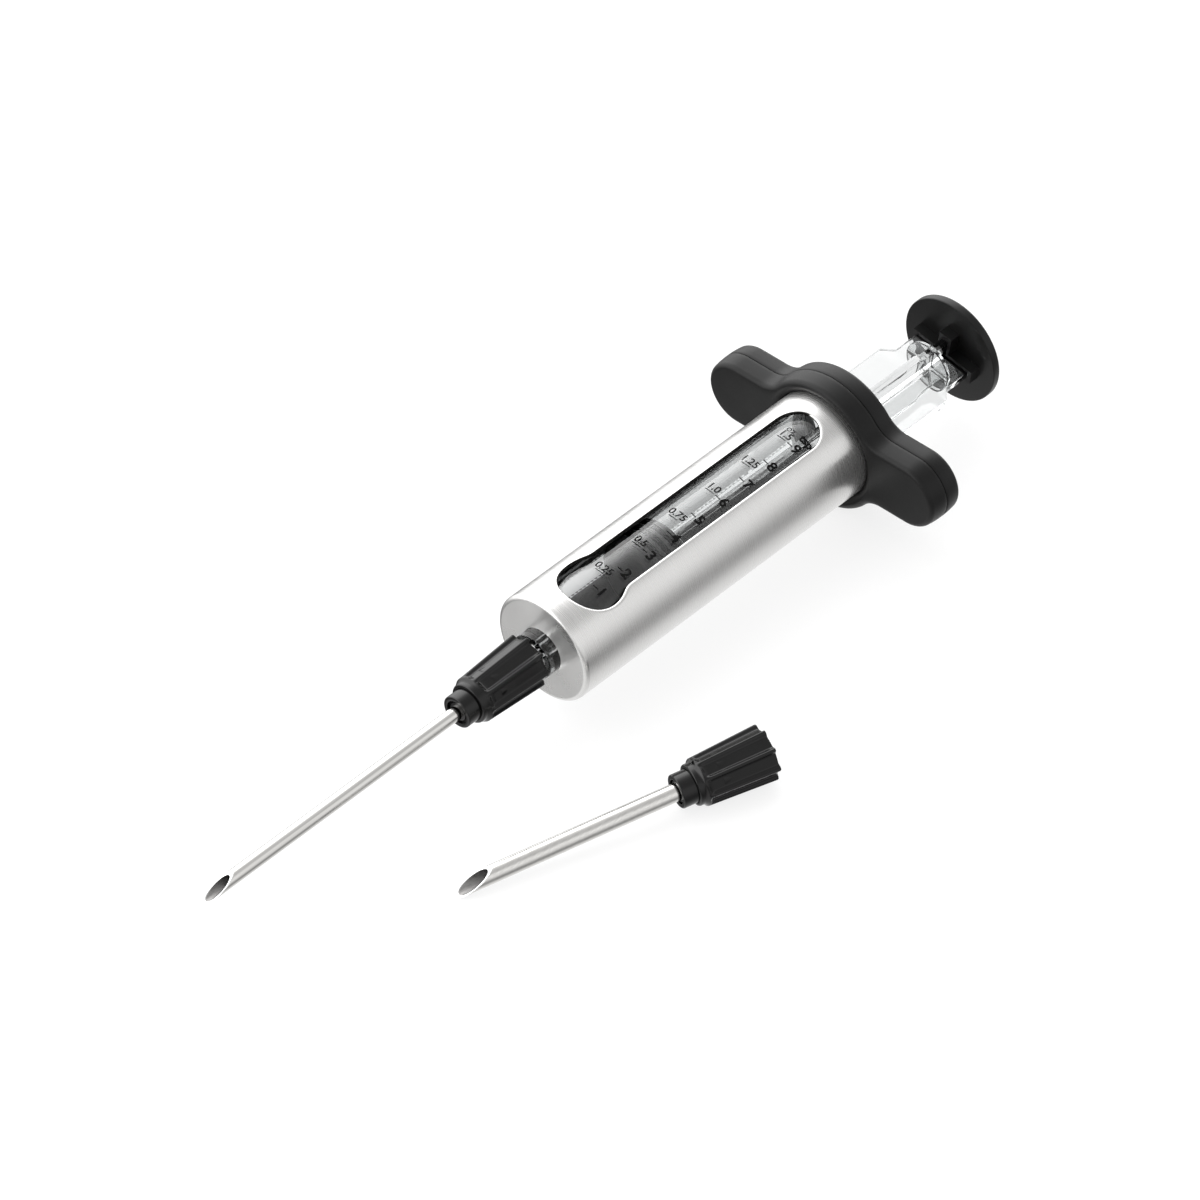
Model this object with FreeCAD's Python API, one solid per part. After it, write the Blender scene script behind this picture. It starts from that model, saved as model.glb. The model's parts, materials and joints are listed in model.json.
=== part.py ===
import FreeCAD, Part
import math
import os

# Meat injector lying on a table beside its spare wide needle. Millimetres.
# Lengthwise places ("stations") are measured along the injector's axis from the front face of the
# steel sleeve: negative towards the needle tip, positive towards the thumb disc.

V = FreeCAD.Vector
AXIS = V(1, 0, 0)

# sleeve and barrel
SLEEVE_R = 16.25
SLEEVE_WALL = 1.0
SLEEVE_FRONT_WALL = 1.2
SLEEVE_EDGE_R = 1.4
SLEEVE_END = 112.0
RIM_R = 17.4
RIM_END = 113.2
BARREL_R = 14.4
BORE_R = 12.9
BARREL_FRONT = 2.2
BORE_FRONT = 4.8
FLANGE_START = 114.0
BARREL_END = 115.8
UNIT_ROLL = 11.0            # barrel, window and plunger are turned this far from the wings

# window in the sleeve: a long slot that opens into a round bulge at the needle end
BULGE_X = 16.6
BULGE_R = 9.2
SLOT_HALF = 6.87
SLOT_END = 102.8
NECK_R = 6.0

# threaded nozzle and the hub that screws on it
NOZZLE_END = -17.0
NOZZLE_ROOT_R = 6.7
NOZZLE_ROOT_END = -3.9
THREAD_CORE_R = 5.0
THREAD_R = 5.6
THREAD_PITCH = 2.0
NOZZLE_BORE_R = 2.0
RUNNING = 0.07              # radial clearance of parts that turn or slide on each other
NUT_BACK = -5.0
NUT_BACK_R = 7.9
RIDGE_END = -25.6
RIDGE_END_R = 6.8
NOSE_START = -26.6
NOSE_R = 5.9
NUT_FRONT = -28.0
NUT_EDGE = 0.4
NUT_SHOULDER = -20.6
RELIEF_R = 5.85
FLUTES = 8
FLUTE_R = 2.3
FLUTE_DEPTH = 1.1
FLUTE_END = -25.0
WASHER_T = 0.9
CARRIER_FLANGE_R = 5.7
CARRIER_R = 4.8
CARRIER_FRONT = -32.3
RECESS_R = 3.5
RECESS_DEPTH = 1.6
BOSS_SETBACK = 0.4

# needles
NEEDLE_R = 2.0
NEEDLE_BORE_R = 1.55
NEEDLE_TIP = -125.7
SPARE_R = 2.5
SPARE_BORE_R = 2.05
SPARE_TIP = -98.1
BEVEL_LENGTH = 11.0

# grip with two finger wings, made of two shells that turn on the sleeve
GRIP_FRONT = 108.2
GRIP_SEAM = 114.2
GRIP_BACK = 120.0
GRIP_R = 20.5
WING_HALF = 10.2
WING_TIP = 41.2
WING_BLEND = 8.0
GRIP_EDGE = 1.5
SEAM_EDGE = 0.25
DISH_R = 18.8
DISH_DEPTH = 1.1
CAVITY_R = 17.6
CAVITY_START = 111.7
CAVITY_END = 117.1
GUIDE_R = 12.72
SLIP_RING_R = 13.4

# plunger
PISTON_FRONT = 36.0
PISTON_BACK = 46.4
PISTON_R = 12.82
PISTON_NOSE = 1.8
PISTON_NOSE_R = 9.5
SEAL_R = 12.88
SEAL_SEAT_R = 11.2
SEAL_W = 1.7
SEAL_STATIONS = (38.2, 41.2, 44.2)
PEG_R = 3.4
PEG_FRONT = 39.0
ROD_PLATE_R = 12.0
ROD_PLATE_T = 2.0
BLADE_HALF = 12.6
BLADE_T = 2.4
RIB_HALF = 7.6
BLADE_END = 146.3
NECK_START = 149.4
NECK_HALF = 9.4
RIB_NECK_HALF = 6.4
WEB_X = 152.4
WEB_T = 1.2
WEB_R = 7.6
SOCKET_START = 157.9
SOCKET_HALF = 10.8
SOCKET_T = 4.4
DISC_FRONT = 161.3
DISC_BACK = 164.1
DISC_R = 16.2
DISC_FRONT_EDGE = 0.35
DISC_BACK_EDGE = 0.9

# where things lie on the table
AXIS_HEIGHT = GRIP_R
SPARE_TIP_XY = (-67.8, -32.4)   # from the injector's axis and the sleeve's front face
SPARE_YAW = -18.3
ROW_SHIFT_X = -(NEEDLE_TIP + DISC_BACK) / 2
ROW_SHIFT_Y = 13.88


def cylinder(start, end, radius):
    return Part.makeCylinder(radius, end - start, V(start, 0, 0), AXIS)


def ring(start, end, outer, inner):
    return cylinder(start, end, outer).cut(cylinder(start - 1, end + 1, inner))


def block(start, end, half_y, half_z):
    return Part.makeBox(end - start, 2 * half_y, 2 * half_z, V(start, -half_y, -half_z))


def turned(stations):
    """Solid of revolution about the axis, from (station, radius) corners in order."""
    corners = [V(x, r, 0) for x, r in stations]
    corners.append(corners[0])
    return Part.Face(Part.makePolygon(corners)).revolve(V(0, 0, 0), AXIS, 360)


def edges_at(shape, station, least_radius=0.0):
    """Edges that lie in the plane at a station, further from the axis than least_radius."""
    found = []
    for edge in shape.Edges:
        box = edge.BoundBox
        middle = edge.valueAt((edge.FirstParameter + edge.LastParameter) / 2)
        flat = box.XLength < 1e-4 and abs(box.XMin - station) < 1e-4
        if flat and math.hypot(middle.y, middle.z) > least_radius:
            found.append(edge)
    return found


def arc(centre, radius, start_deg, end_deg):
    """Arc in the XY plane from one angle to another, through the angle halfway."""
    angles = (start_deg, (start_deg + end_deg) / 2, end_deg)
    points = [centre + V(radius * math.cos(math.radians(a)), radius * math.sin(math.radians(a)), 0)
              for a in angles]
    return Part.Arc(*points).toShape()


def window_outline():
    """Closed outline of the window in the XY plane: bulge, concave necks and a long round-ended slot."""
    neck_y = SLOT_HALF + NECK_R
    neck_x = BULGE_X + math.sqrt((BULGE_R + NECK_R) ** 2 - neck_y ** 2)
    lean = math.degrees(math.atan2(neck_y, neck_x - BULGE_X))
    end_x = SLOT_END - SLOT_HALF
    edges = [
        arc(V(BULGE_X, 0, 0), BULGE_R, lean, 360 - lean),
        arc(V(neck_x, -neck_y, 0), NECK_R, 180 - lean, 90),
        Part.makeLine(V(neck_x, -SLOT_HALF, 0), V(end_x, -SLOT_HALF, 0)),
        arc(V(end_x, 0, 0), SLOT_HALF, -90, 90),
        Part.makeLine(V(end_x, SLOT_HALF, 0), V(neck_x, SLOT_HALF, 0)),
        arc(V(neck_x, neck_y, 0), NECK_R, 270, 180 + lean),
    ]
    return Part.Wire(Part.__sortEdges__(edges))


def steel_sleeve():
    outer = cylinder(0, SLEEVE_END, SLEEVE_R)
    outer = outer.makeFillet(SLEEVE_EDGE_R, edges_at(outer, 0))
    rim = cylinder(SLEEVE_END, RIM_END, RIM_R)
    inside = cylinder(SLEEVE_FRONT_WALL, RIM_END + 1, SLEEVE_R - SLEEVE_WALL)
    nozzle_hole = cylinder(-1, SLEEVE_FRONT_WALL + 1, NOZZLE_ROOT_R + RUNNING)
    window = Part.Face(window_outline()).extrude(V(0, 0, SLEEVE_R + 5))
    return outer.fuse(rim).cut(inside).cut(nozzle_hole).cut(window).removeSplitter()


def thread_rings():
    """Raised thread turns on the nozzle, each with sloping flanks."""
    rings = []
    station = NOZZLE_ROOT_END - THREAD_PITCH / 2
    while station - THREAD_PITCH / 2 > NOZZLE_END:
        crest = THREAD_PITCH * 0.15
        foot = THREAD_PITCH * 0.42
        rings.append(turned([(station - foot, 0), (station - foot, THREAD_CORE_R),
                             (station - crest, THREAD_R), (station + crest, THREAD_R),
                             (station + foot, THREAD_CORE_R), (station + foot, 0)]))
        station -= THREAD_PITCH
    return rings


def clear_barrel():
    body = cylinder(BARREL_FRONT, BARREL_END, BARREL_R)
    body = body.fuse(cylinder(FLANGE_START, BARREL_END, RIM_R))
    body = body.fuse(cylinder(NOZZLE_ROOT_END, BARREL_FRONT, NOZZLE_ROOT_R))
    body = body.fuse(cylinder(NOZZLE_END, NOZZLE_ROOT_END, THREAD_CORE_R))
    for thread in thread_rings():
        body = body.fuse(thread)
    body = body.cut(cylinder(BORE_FRONT, BARREL_END + 1, BORE_R))
    return body.cut(cylinder(NOZZLE_END - 1, BORE_FRONT + 1, NOZZLE_BORE_R)).removeSplitter()


def front_gasket():
    return ring(SLEEVE_FRONT_WALL, BARREL_FRONT, BARREL_R - 0.4, BARREL_R - 3.4)


def rear_gasket():
    return ring(RIM_END, FLANGE_START, RIM_R - 0.2, BARREL_R)


def grip_outline():
    """Round middle with two round-ended wings, joined by hollow blends."""
    blend_y = WING_HALF + WING_BLEND
    blend_x = math.sqrt((GRIP_R + WING_BLEND) ** 2 - blend_y ** 2)
    lean = math.degrees(math.atan2(blend_y, blend_x))
    cap_x = WING_TIP - WING_HALF
    edges = []
    for side in (1, -1):
        edges.append(arc(V(0, 0, 0), GRIP_R, side * lean, side * (180 - lean)))
        edges.append(arc(V(blend_x, side * blend_y, 0), WING_BLEND, side * (lean + 180), side * 270))
        edges.append(arc(V(-blend_x, side * blend_y, 0), WING_BLEND, -side * lean, -side * 90))
        edges.append(Part.makeLine(V(blend_x, side * WING_HALF, 0), V(cap_x, side * WING_HALF, 0)))
        edges.append(Part.makeLine(V(-blend_x, side * WING_HALF, 0), V(-cap_x, side * WING_HALF, 0)))
    edges.append(arc(V(cap_x, 0, 0), WING_HALF, -90, 90))
    edges.append(arc(V(-cap_x, 0, 0), WING_HALF, 90, 270))
    return Part.Wire(Part.__sortEdges__(edges))


def grip_slab(start, end):
    """The grip's outline as a slab across the axis, wings along Y."""
    slab = Part.Face(grip_outline()).extrude(V(0, 0, end - start))
    slab.rotate(V(0, 0, 0), V(0, 0, 1), 90)
    slab.rotate(V(0, 0, 0), V(0, 1, 0), 90)
    slab.translate(V(start, 0, 0))
    return slab


def grip_front_shell():
    shell = grip_slab(GRIP_FRONT, GRIP_SEAM)
    shell = shell.makeFillet(GRIP_EDGE, edges_at(shell, GRIP_FRONT))
    shell = shell.makeChamfer(SEAM_EDGE, edges_at(shell, GRIP_SEAM))
    bore = cylinder(GRIP_FRONT - 1, GRIP_SEAM + 1, SLEEVE_R + RUNNING)
    slope = Part.makeCone(DISH_R, SLEEVE_R, DISH_DEPTH, V(GRIP_FRONT, 0, 0), AXIS)
    return shell.cut(bore).cut(slope).cut(cylinder(CAVITY_START, GRIP_SEAM + 1, CAVITY_R))


def grip_rear_shell():
    shell = grip_slab(GRIP_SEAM, GRIP_BACK)
    shell = shell.makeFillet(GRIP_EDGE, edges_at(shell, GRIP_BACK))
    shell = shell.makeChamfer(SEAM_EDGE, edges_at(shell, GRIP_SEAM))
    guide = cylinder(GRIP_SEAM - 1, GRIP_BACK + 1, GUIDE_R)
    return shell.cut(guide).cut(cylinder(GRIP_SEAM - 1, CAVITY_END, CAVITY_R))


def grip_slip_ring():
    return ring(BARREL_END + RUNNING, CAVITY_END, CAVITY_R - 0.1, SLIP_RING_R)


def piston_head():
    head = turned([(PISTON_FRONT - PISTON_NOSE, 0), (PISTON_FRONT - PISTON_NOSE, PISTON_NOSE_R),
                   (PISTON_FRONT, PISTON_R), (PISTON_BACK, PISTON_R), (PISTON_BACK, 0)])
    for station in SEAL_STATIONS:
        head = head.cut(ring(station - SEAL_W / 2, station + SEAL_W / 2, PISTON_R + 1, SEAL_SEAT_R))
    return head.cut(cylinder(PEG_FRONT, PISTON_BACK + 1, PEG_R))


def piston_seal(station):
    seal = ring(station - SEAL_W / 2, station + SEAL_W / 2, SEAL_R, SEAL_SEAT_R)
    outer_edges = edges_at(seal, station - SEAL_W / 2, SEAL_SEAT_R + 1)
    outer_edges += edges_at(seal, station + SEAL_W / 2, SEAL_SEAT_R + 1)
    return seal.makeFillet(0.5, outer_edges)


def blade(half_wide, half_neck):
    """Flat rib along the axis, standing in Y, stepping down to a narrow neck at the disc end."""
    start = PISTON_BACK + ROD_PLATE_T / 2
    corners = [(start, half_wide), (BLADE_END, half_wide), (NECK_START, half_neck),
               (DISC_FRONT, half_neck)]
    outline = [V(x, y, -BLADE_T / 2) for x, y in corners]
    outline += [V(x, -y, -BLADE_T / 2) for x, y in reversed(corners)]
    outline.append(outline[0])
    return Part.Face(Part.makePolygon(outline)).extrude(V(0, 0, BLADE_T))


def rod_cross():
    rib = blade(RIB_HALF, RIB_NECK_HALF)
    rib.rotate(V(0, 0, 0), AXIS, 90)
    return blade(BLADE_HALF, NECK_HALF).fuse(rib)


def plunger_rod():
    rod = rod_cross().fuse(cylinder(PISTON_BACK, PISTON_BACK + ROD_PLATE_T, ROD_PLATE_R))
    rod = rod.fuse(cylinder(PEG_FRONT, PISTON_BACK, PEG_R))
    rod = rod.fuse(cylinder(WEB_X - WEB_T / 2, WEB_X + WEB_T / 2, WEB_R))
    return rod.common(cylinder(PEG_FRONT, DISC_FRONT, BLADE_HALF)).removeSplitter()


def disc_socket():
    """Cross-shaped cup under the thumb disc that the rod's neck is pressed into."""
    arms = block(SOCKET_START, DISC_FRONT, SOCKET_HALF, SOCKET_T / 2)
    arms = arms.fuse(block(SOCKET_START, DISC_FRONT, SOCKET_T / 2, SOCKET_HALF - 2.6))
    return arms.cut(rod_cross()).removeSplitter()


def thumb_disc():
    disc = cylinder(DISC_FRONT, DISC_BACK, DISC_R)
    disc = disc.makeFillet(DISC_FRONT_EDGE, edges_at(disc, DISC_FRONT))
    return disc.makeFillet(DISC_BACK_EDGE, edges_at(disc, DISC_BACK))


def lock_nut():
    """Tapered hub nut with eight flutes that run out before its nose."""
    nut = turned([(NUT_BACK, 0), (NUT_BACK, NUT_BACK_R - NUT_EDGE), (NUT_BACK - NUT_EDGE, NUT_BACK_R),
                  (RIDGE_END, RIDGE_END_R), (NOSE_START, NOSE_R), (NUT_FRONT + NUT_EDGE, NOSE_R),
                  (NUT_FRONT, NOSE_R - NUT_EDGE), (NUT_FRONT, 0)])
    taper = (NUT_BACK_R - RIDGE_END_R) / (NUT_BACK - RIDGE_END)
    back = V(1, 0, NUT_BACK_R - FLUTE_DEPTH + FLUTE_R)
    front = V(FLUTE_END, 0, NUT_BACK_R + taper * (FLUTE_END - NUT_BACK) + FLUTE_R)
    flute = Part.makeCylinder(FLUTE_R, (front - back).Length, back, front - back)
    for index in range(FLUTES):
        cutter = flute.copy()
        cutter.rotate(V(0, 0, 0), AXIS, (index + 0.5) * 360 / FLUTES)
        nut = nut.cut(cutter)
    nut = nut.cut(cylinder(NOZZLE_END, 1, THREAD_R + RUNNING))
    nut = nut.cut(cylinder(NUT_SHOULDER, NOZZLE_END, RELIEF_R))
    return nut.cut(cylinder(NUT_FRONT - 1, NUT_SHOULDER + 1, CARRIER_R + RUNNING))


def needle_washer(bore):
    return ring(NOZZLE_END - WASHER_T, NOZZLE_END, CARRIER_FLANGE_R - 0.2, bore)


def needle_carrier(tube_r):
    """Collar that holds the tube; its flange is clamped between the nut and the nozzle."""
    flange_front = NUT_SHOULDER + RUNNING
    body = cylinder(flange_front, NOZZLE_END - WASHER_T, CARRIER_FLANGE_R)
    body = body.fuse(cylinder(CARRIER_FRONT, flange_front, CARRIER_R))
    body = body.makeFillet(0.5, edges_at(body, CARRIER_FRONT, CARRIER_R - 1))
    body = body.cut(ring(CARRIER_FRONT - 1, CARRIER_FRONT + RECESS_DEPTH, RECESS_R, tube_r + 0.5))
    body = body.cut(cylinder(CARRIER_FRONT - 1, CARRIER_FRONT + BOSS_SETBACK, RECESS_R))
    return body.cut(cylinder(CARRIER_FRONT - 1, NOZZLE_END, tube_r)).removeSplitter()


def needle_tube(tube_r, bore_r, tip):
    """Steel tube, cut slantwise so that the opening faces up and the point is underneath."""
    tube = ring(tip, NOZZLE_END - WASHER_T, tube_r, bore_r)
    beyond = 4.0
    rise = 2 * tube_r * (BEVEL_LENGTH + beyond) / BEVEL_LENGTH
    drop = 2 * tube_r * beyond / BEVEL_LENGTH
    corners = [V(tip - beyond, -2 * tube_r, -tube_r - drop),
               V(tip + BEVEL_LENGTH + beyond, -2 * tube_r, -tube_r + rise),
               V(tip - beyond, -2 * tube_r, -tube_r + rise)]
    corners.append(corners[0])
    wedge = Part.Face(Part.makePolygon(corners)).extrude(V(0, 4 * tube_r, 0))
    return tube.cut(wedge)


def spare_placement():
    """Spare needle lying on the table: its point and the nose of its nut touch down."""
    contact_span = RIDGE_END - SPARE_TIP
    tilt = math.degrees(math.asin((RIDGE_END_R - SPARE_R) / contact_span))
    turn = FreeCAD.Rotation(V(0, 0, 1), SPARE_YAW).multiply(FreeCAD.Rotation(V(0, 1, 0), -tilt))
    height = SPARE_R * math.cos(math.radians(tilt)) - AXIS_HEIGHT
    tip = V(SPARE_TIP_XY[0], SPARE_TIP_XY[1], height)
    return FreeCAD.Placement(tip - turn.multVec(V(SPARE_TIP, 0, 0)), turn)


def all_parts():
    rolled = {
        "steel_sleeve": steel_sleeve(),
        "clear_barrel": clear_barrel(),
        "front_gasket": front_gasket(),
        "rear_gasket": rear_gasket(),
        "piston_head": piston_head(),
        "piston_seal_front": piston_seal(SEAL_STATIONS[0]),
        "piston_seal_middle": piston_seal(SEAL_STATIONS[1]),
        "piston_seal_rear": piston_seal(SEAL_STATIONS[2]),
        "plunger_rod": plunger_rod(),
        "disc_socket": disc_socket(),
        "thumb_disc": thumb_disc(),
    }
    straight = {
        "grip_front_shell": grip_front_shell(),
        "grip_rear_shell": grip_rear_shell(),
        "grip_slip_ring": grip_slip_ring(),
        "lock_nut": lock_nut(),
        "needle_carrier": needle_carrier(NEEDLE_R),
        "needle_tube": needle_tube(NEEDLE_R, NEEDLE_BORE_R, NEEDLE_TIP),
        "needle_washer": needle_washer(NOZZLE_BORE_R),
    }
    loose = {
        "spare_nut": lock_nut(),
        "spare_carrier": needle_carrier(SPARE_R),
        "spare_tube": needle_tube(SPARE_R, SPARE_BORE_R, SPARE_TIP),
        "spare_washer": needle_washer(NOZZLE_BORE_R),
    }
    for shape in rolled.values():
        shape.rotate(V(0, 0, 0), AXIS, UNIT_ROLL)
    for shape in loose.values():
        shape.Placement = spare_placement().multiply(shape.Placement)
    parts = {**rolled, **straight, **loose}
    for shape in parts.values():
        shape.translate(V(ROW_SHIFT_X, ROW_SHIFT_Y, AXIS_HEIGHT))
    return parts


os.makedirs("parts", exist_ok=True)
whole = FreeCAD.BoundBox()
for name, shape in all_parts().items():
    shape.exportStep(f"parts/{name}.step")
    whole.add(shape.optimalBoundingBox())
    print(f"{name}: solids {len(shape.Solids)}, valid {shape.isValid()}, volume {shape.Volume:.1f}")
print(f"X {whole.XMin:.3f} {whole.XMax:.3f}  Y {whole.YMin:.3f} {whole.YMax:.3f}  Z {whole.ZMin:.3f}")
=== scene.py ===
import json
import math
import bpy
import bmesh
from mathutils import Matrix, Vector, geometry


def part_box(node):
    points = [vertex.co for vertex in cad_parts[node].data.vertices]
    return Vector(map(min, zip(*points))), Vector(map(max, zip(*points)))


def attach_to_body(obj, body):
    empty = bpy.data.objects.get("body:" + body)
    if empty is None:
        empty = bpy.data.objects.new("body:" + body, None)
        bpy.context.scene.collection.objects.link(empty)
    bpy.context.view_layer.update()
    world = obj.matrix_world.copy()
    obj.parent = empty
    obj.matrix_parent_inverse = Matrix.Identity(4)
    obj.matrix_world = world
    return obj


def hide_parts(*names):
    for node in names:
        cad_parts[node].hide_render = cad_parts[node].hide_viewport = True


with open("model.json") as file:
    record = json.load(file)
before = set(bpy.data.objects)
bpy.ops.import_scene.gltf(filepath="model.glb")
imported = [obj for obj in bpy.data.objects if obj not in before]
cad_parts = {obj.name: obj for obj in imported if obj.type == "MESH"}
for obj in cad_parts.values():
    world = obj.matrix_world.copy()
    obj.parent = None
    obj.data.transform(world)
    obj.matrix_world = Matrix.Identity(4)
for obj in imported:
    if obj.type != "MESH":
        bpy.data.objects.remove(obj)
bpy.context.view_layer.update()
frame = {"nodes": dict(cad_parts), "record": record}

# Meat injector. Shapes are made in millimetres in each unit's own axis frame: x runs along the
# injector from the sleeve's front face (station 0) to the thumb disc, and z points out of the window.

MM = 0.001
# At rest the sleeve, barrel and plunger are turned by this many degrees, and the grip stands level.
UNIT_ROLL = 11.0
# Station of the point on the spare hub's axis that its joint is placed at.
SOCKET_MIDDLE = -11.0

# Sleeve.
SLEEVE_R = 16.25
SLEEVE_WALL = 1.0
SLEEVE_FRONT_WALL = 1.2
SLEEVE_EDGE_R = 1.4
SLEEVE_END = 112.0
SLEEVE_HOLE_R = 6.78
RIM_R = 17.4
RIM_END = 113.2
SLEEVE_STEPS = 144
SLEEVE_ROWS = 74
EDGE_STEPS = 8

# Window: a round bulge at the front, a long slot, and a fillet (the neck) on each side where they meet.
# Its lip is rounded off over LIP_W, down to LIP_D below the outside.
BULGE_X = 16.8
BULGE_R = 9.4
SLOT_HALF = 7.1
SLOT_END = 102.8
NECK_R = 6.0
LIP_W = 1.0
LIP_D = 0.55
LIP_STEPS = 6
LIP_CLEARANCE = 0.7
SEARCH_MARGIN = 3

# Which steel each face of the sleeve gets, as places in SLEEVE_STEELS, and where the changes are: brushed
# steel outside; inside and at the window deep painted shade, painted shade, a painted glow and a strip of
# painted highlight. Arcs run round the sleeve from the window's middle and are negative on the far side,
# where the lip is painted with deep shade.
BRUSHED, CUT_SHADE, LINING, PAINTED_HIGHLIGHT, FAR_SHADE = range(5)
FAR_SIDE = -0.2
LIP_TURNED_DOWN = 0.7
PISTON_ZONE_END = 46
# Arcs of lining with deep painted shade beside the far lip; half widths of lining with painted shade by the
# window and under the front; arcs of the strip of painted highlight behind the piston.
FAR_SHADE_ARCS = (-28, 0)
NEAR_SHADE_HALF = 20
FRONT_LINING_HALF = 35
HIGHLIGHT_ARCS = (39, 47)

# Barrel, its nozzle and its printed scale.
BARREL_R = 14.4
BARREL_FRONT = 2.2
BARREL_END = 115.8
FLANGE_START = 114.0
BORE_R = 12.9
BORE_FRONT = 4.8
BOSS_R = 6.7
BOSS_END = -3.9
NOZZLE_END = -17.0
NOZZLE_R = 5.0
NOZZLE_BORE_R = 2.0
THREAD_R = 5.6
THREAD_CREST = 0.3
THREAD_ROOT = 0.84
THREAD_START = -4.9
THREAD_LAST = -16
THREAD_PITCH = 2.0
PRINT_R = 14.42
PRINT_T = 0.03
CAPITAL_HEIGHT = 0.69
TEASPOON_STEP = 9.45
TEASPOON_ONE = 16.5
TEASPOONS = 9
QUARTER_OUNCES = 6
TEASPOONS_PER_QUARTER = 1.5
TICK_STEPS = 5

# Grip.
GRIP_FRONT = 108.2
GRIP_SEAM = 114.2
GRIP_BACK = 120.0
GRIP_R = 20.5
WING_HALF = 10.2
WING_TIP = 41.18
WING_BLEND = 8.0
GRIP_EDGE = 1.6
GRIP_DRAFT = 0.3
SIDE_STEPS = 6
SEAM_LAND = 0.35
SEAM_GROOVE = ((0.12, 0.10), (0.0, 0.40))
DISH_R = 18.4
DISH_CURVE = 1.6
CHAMFER_DEEP = 0.4
CHAMFER_WIDE = 0.3
FRONT_DISH = 1.1
REAR_DISH = 0.3
CAVITY_R = 17.6
CAVITY_FRONT = 111.7
CAVITY_BACK = 117.1
SLEEVE_GAP = 0.07
ROD_GUIDE_R = 12.72

# Plunger.
BLADE_T = 2.4
BLADE_STATIONS = (47.4, 142.0, 146.3)
BLADE_WIDE = 12.5
BLADE_TALL = 7.6
ROD_NECK_START = 149.4
ROD_NECK_WIDE = 9.4
ROD_NECK_TALL = 6.4
PLATE_BACK = 47.39
PLATE_R = 12.0
WEB_FRONT = 151.8
WEB_BACK = 153.0
DISC_FRONT = 161.3
DISC_BACK = 164.1
DISC_R = 16.2
PISTON_NOSE = 34.2
PISTON_FRONT = 36.0
PISTON_BACK = 46.4
PISTON_R = 12.82
NOSE_R = 9.5
SHOULDER_R = 12.6
FIRST_LAND = 37.35
PISTON_SOCKET = 39.0
PISTON_SOCKET_R = 3.4
GROOVE_R = 11.2
GROOVE_HALF = 0.85
SEAL_INNER_R = 11.21
SEAL_R = 12.88
SEAL_HALF = 0.84
SEALS = (("front", 38.2), ("middle", 41.2), ("rear", 44.2))

joints = {joint["name"]: joint for joint in frame["record"]["behaviour"]["joints"]}


# ---------------------------------------------------------------- frames of the units

def axis_frame(roll):
    front_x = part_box("steel_sleeve")[0][0]
    _, axis_y, axis_z = joints["grip_turn"]["pos_m"]
    return (Matrix.Translation((front_x, axis_y, axis_z))
            @ Matrix.Rotation(math.radians(roll), 4, "X") @ Matrix.Scale(MM, 4))


def spare_frame():
    spin = joints["spare_nut_spin"]
    along = Vector(spin["axis"])
    yaw = math.atan2(along.y, along.x)
    tilt = math.asin(along.z)
    return (Matrix.Translation(spin["pos_m"]) @ Matrix.Rotation(yaw, 4, "Z")
            @ Matrix.Rotation(-tilt, 4, "Y") @ Matrix.Scale(MM, 4)
            @ Matrix.Translation((-SOCKET_MIDDLE, 0, 0)))


UNIT = axis_frame(UNIT_ROLL)
STRAIGHT = axis_frame(0)
SPARE = spare_frame()


# ---------------------------------------------------------------- materials

def new_material(name):
    material = bpy.data.materials.new(name)
    material.use_nodes = True
    nodes = material.node_tree.nodes
    return material, nodes, material.node_tree.links, nodes["Principled BSDF"]


def scaled_position(nodes, links, scale):
    """Object-space position in metres times a scale for each axis."""
    position = nodes.new("ShaderNodeTexCoord")
    mapping = nodes.new("ShaderNodeMapping")
    mapping.inputs["Scale"].default_value = scale
    links.new(position.outputs["Object"], mapping.inputs["Vector"])
    return mapping.outputs["Vector"]


def noise(nodes, links, scale, size=1.0, detail=3.0):
    texture = nodes.new("ShaderNodeTexNoise")
    texture.inputs["Scale"].default_value = size
    texture.inputs["Detail"].default_value = detail
    links.new(scaled_position(nodes, links, scale), texture.inputs["Vector"])
    return texture.outputs["Fac"]


def spread(nodes, links, value, low, high):
    ramp = nodes.new("ShaderNodeMapRange")
    ramp.inputs["From Min"].default_value = 0.3
    ramp.inputs["From Max"].default_value = 0.7
    ramp.inputs["To Min"].default_value = low
    ramp.inputs["To Max"].default_value = high
    links.new(value, ramp.inputs["Value"])
    return ramp.outputs["Result"]


def tinted(nodes, links, value, dark, light):
    mix = nodes.new("ShaderNodeMix")
    mix.data_type = "RGBA"
    mix.inputs["A"].default_value = (*dark, 1)
    mix.inputs["B"].default_value = (*light, 1)
    links.new(value, mix.inputs["Factor"])
    return mix.outputs["Result"]


def bump(nodes, links, value, strength, distance, shader):
    node = nodes.new("ShaderNodeBump")
    node.inputs["Strength"].default_value = strength
    node.inputs["Distance"].default_value = distance
    links.new(value, node.inputs["Height"])
    links.new(node.outputs["Normal"], shader.inputs["Normal"])


def mottle(nodes, links, shader, pattern, dark, light, smooth, rough):
    """Base colour and roughness that both follow one pattern."""
    links.new(tinted(nodes, links, spread(nodes, links, pattern, 0, 1), dark, light),
              shader.inputs["Base Color"])
    links.new(spread(nodes, links, pattern, smooth, rough), shader.inputs["Roughness"])


def grey(value):
    return (value, value, value)


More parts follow.
